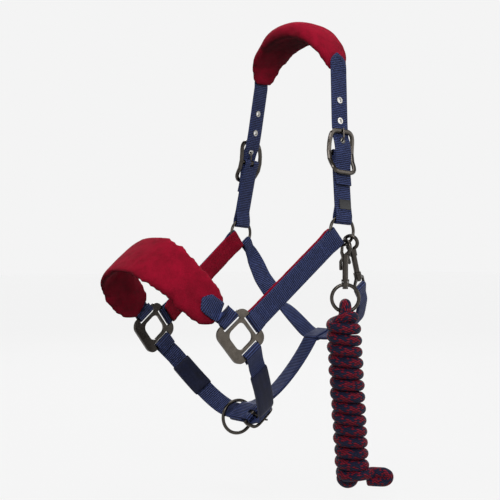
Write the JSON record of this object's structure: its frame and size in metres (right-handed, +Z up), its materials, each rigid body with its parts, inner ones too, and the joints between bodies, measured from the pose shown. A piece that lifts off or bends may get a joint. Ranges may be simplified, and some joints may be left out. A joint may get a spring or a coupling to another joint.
{
  "type": "head halter with lead rope",
  "caption": "Horse head halter of folded webbing with a padded crown and nose pad, metal plates, rings and buckles, and a lead rope on a snap hook, wound into a hank.",
  "frame": {"origin": "the poll: the middle of the crown pad, at the underside, where the halter hangs on the head", "axes": "+Z up, horse faces -X, its left side is -Y; the lead rope hangs on the -Y side"},
  "size_m": [0.3281, 0.2491, 0.606],
  "materials": {
    "navy_webbing": "ribbed nylon webbing",
    "smooth_ribbon": "smooth woven sleeve",
    "crimson_fleece": "short crimson fleece",
    "black_nickel": "polished black nickel plate",
    "gunmetal": "satin gunmetal casting",
    "bright_metal": "polished eyelets",
    "spring_steel": "bright drawn wire",
    "black_tab": "bare black woven tab",
    "rope": "braided crimson, navy and violet rope"
  },
  "bodies": {
    "halter": {"crown_pad": "crimson_fleece", "left_billet": "navy_webbing", "right_billet": "navy_webbing", "left_eyelets": "bright_metal", "right_eyelets": "bright_metal", "left_buckle_frame": "black_nickel", "right_buckle_frame": "black_nickel", "left_heel_strap": "navy_webbing", "right_heel_strap": "navy_webbing", "left_heel_tab": "black_tab", "left_cheek_strap": "navy_webbing", "right_cheek_strap": "navy_webbing", "left_cheek_lining": "crimson_fleece", "right_cheek_lining": "crimson_fleece", "left_nose_plate": "gunmetal", "right_nose_plate": "gunmetal", "nose_pad": "crimson_fleece", "left_nose_tab": "navy_webbing", "right_nose_tab": "navy_webbing", "left_chin_strap": "navy_webbing", "right_chin_strap": "navy_webbing", "left_chin_sleeve": "smooth_ribbon", "right_chin_sleeve": "smooth_ribbon", "chin_buckle_frame": "black_nickel", "chin_eyelets": "bright_metal", "jowl_strap": "navy_webbing", "throat_strap": "navy_webbing", "throat_snap_body": "black_nickel", "throat_snap_pin": "spring_steel", "throat_snap_spring": "spring_steel", "throat_snap_eye": "black_nickel"},
    "left_buckle_tongue": {"left_buckle_tongue": "black_nickel"},
    "right_buckle_tongue": {"right_buckle_tongue": "black_nickel"},
    "chin_buckle_tongue": {"chin_buckle_tongue": "black_nickel"},
    "left_cheek_ring": {"left_cheek_ring": "black_nickel"},
    "right_cheek_ring": {"right_cheek_ring": "black_nickel"},
    "chin_ring": {"chin_ring": "black_nickel"},
    "throat_snap_gate": {"throat_snap_gate": "black_nickel"},
    "lead_snap": {"lead_snap_body": "black_nickel", "lead_snap_pin": "spring_steel", "lead_snap_spring": "spring_steel"},
    "lead_snap_gate": {"lead_snap_gate": "black_nickel"},
    "lead_eye": {"lead_snap_eye": "black_nickel", "lead_rope": "rope", "rope_hank": "rope", "rope_end": "rope"}
  },
  "joints": [
    {"name": "left_tongue_hinge", "type": "hinge", "parent": "halter", "child": "left_buckle_tongue", "pos_m": [-0.00675, -0.09036, -0.16203], "axis": [0.9922, -0.1018, -0.0714], "range_deg": [0, 2]},
    {"name": "right_tongue_hinge", "type": "hinge", "parent": "halter", "child": "right_buckle_tongue", "pos_m": [-0.00675, 0.09036, -0.16203], "axis": [-0.9922, -0.1018, 0.0714], "range_deg": [0, 2]},
    {"name": "chin_tongue_hinge", "type": "hinge", "parent": "halter", "child": "chin_buckle_tongue", "pos_m": [-0.09245, -0.02, -0.49114], "axis": [0.7776, 0, 0.6288], "range_deg": [0, 0.8]},
    {"name": "left_ring_turn", "type": "hinge", "parent": "halter", "child": "left_cheek_ring", "pos_m": [-0.015, -0.102, -0.26], "axis": [-0.0996, -0.9944, 0.0344], "continuous": true},
    {"name": "right_ring_turn", "type": "hinge", "parent": "halter", "child": "right_cheek_ring", "pos_m": [-0.015, 0.102, -0.26], "axis": [-0.0996, 0.9944, 0.0344], "continuous": true},
    {"name": "chin_ring_swing", "type": "hinge", "parent": "halter", "child": "chin_ring", "pos_m": [-0.09245, 0.02, -0.49114], "axis": [0.7776, 0, 0.6288], "range_deg": [-4, 35]},
    {"name": "throat_gate_hinge", "type": "hinge", "parent": "halter", "child": "throat_snap_gate", "pos_m": [0.00274, -0.10054, -0.28663], "axis": [0.86, 0.3718, 0.3495], "range_deg": [0, 1.3], "stiffness_Nm_per_rad": 0.02, "springref_deg": -5.73},
    {"name": "lead_snap_swing", "type": "hinge", "parent": "halter", "child": "lead_snap", "pos_m": [-0.01036, -0.10307, -0.27736], "axis": [-1, 0, 0], "range_deg": [-2, 60]},
    {"name": "lead_gate_hinge", "type": "hinge", "parent": "lead_snap", "child": "lead_snap_gate", "pos_m": [-0.01036, -0.10107, -0.29406], "axis": [1, 0, 0], "range_deg": [0, 6], "stiffness_Nm_per_rad": 0.02, "springref_deg": -5.73},
    {"name": "lead_swivel", "type": "hinge", "parent": "lead_snap", "child": "lead_eye", "pos_m": [-0.01036, -0.10307, -0.28106], "axis": [0, 0, 1], "continuous": true}
  ]
}
